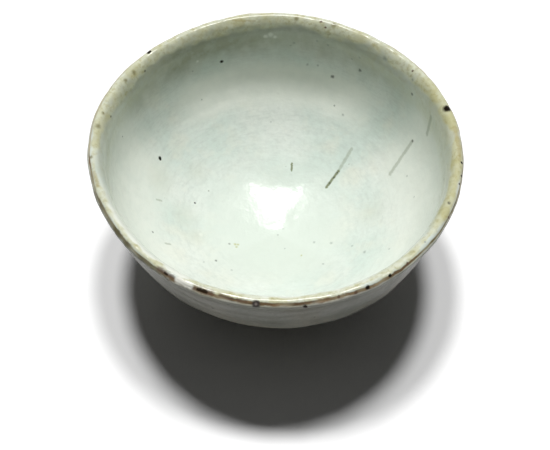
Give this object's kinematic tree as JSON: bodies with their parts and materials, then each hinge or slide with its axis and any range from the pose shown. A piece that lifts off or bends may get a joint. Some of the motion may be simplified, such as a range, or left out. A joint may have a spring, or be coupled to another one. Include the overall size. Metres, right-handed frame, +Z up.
{
  "type": "bowl",
  "caption": "Round wheel-thrown bowl with a deep rounded inside, a flared lip and a low foot ring, for food or drink; glazed inside and out, bare at the lip's crest and the foot.",
  "frame": {"origin": "centre of the plane that the foot ring stands on", "axes": "+Z up along the bowl's axis, from the foot towards the open mouth; X and Y are level, and the bowl has no front"},
  "size_m": [0.1507, 0.1491, 0.075],
  "materials": {
    "clay_body": "bare fired clay, iron-brown where it is worn at the lip's crest",
    "foot_ring": "bare fired clay, matt",
    "inside_glaze": "glossy pale green glaze with iron specks, cream where it thins at the lip",
    "outside_glaze": "glossy pale green glaze, uneven over tool marks",
    "foot_well_glaze": "thin pale green glaze"
  },
  "bodies": {
    "root": {"clay_body": "clay_body", "foot_ring": "foot_ring", "inside_glaze": "inside_glaze", "outside_glaze": "outside_glaze", "foot_well_glaze": "foot_well_glaze"}
  },
  "joints": []
}
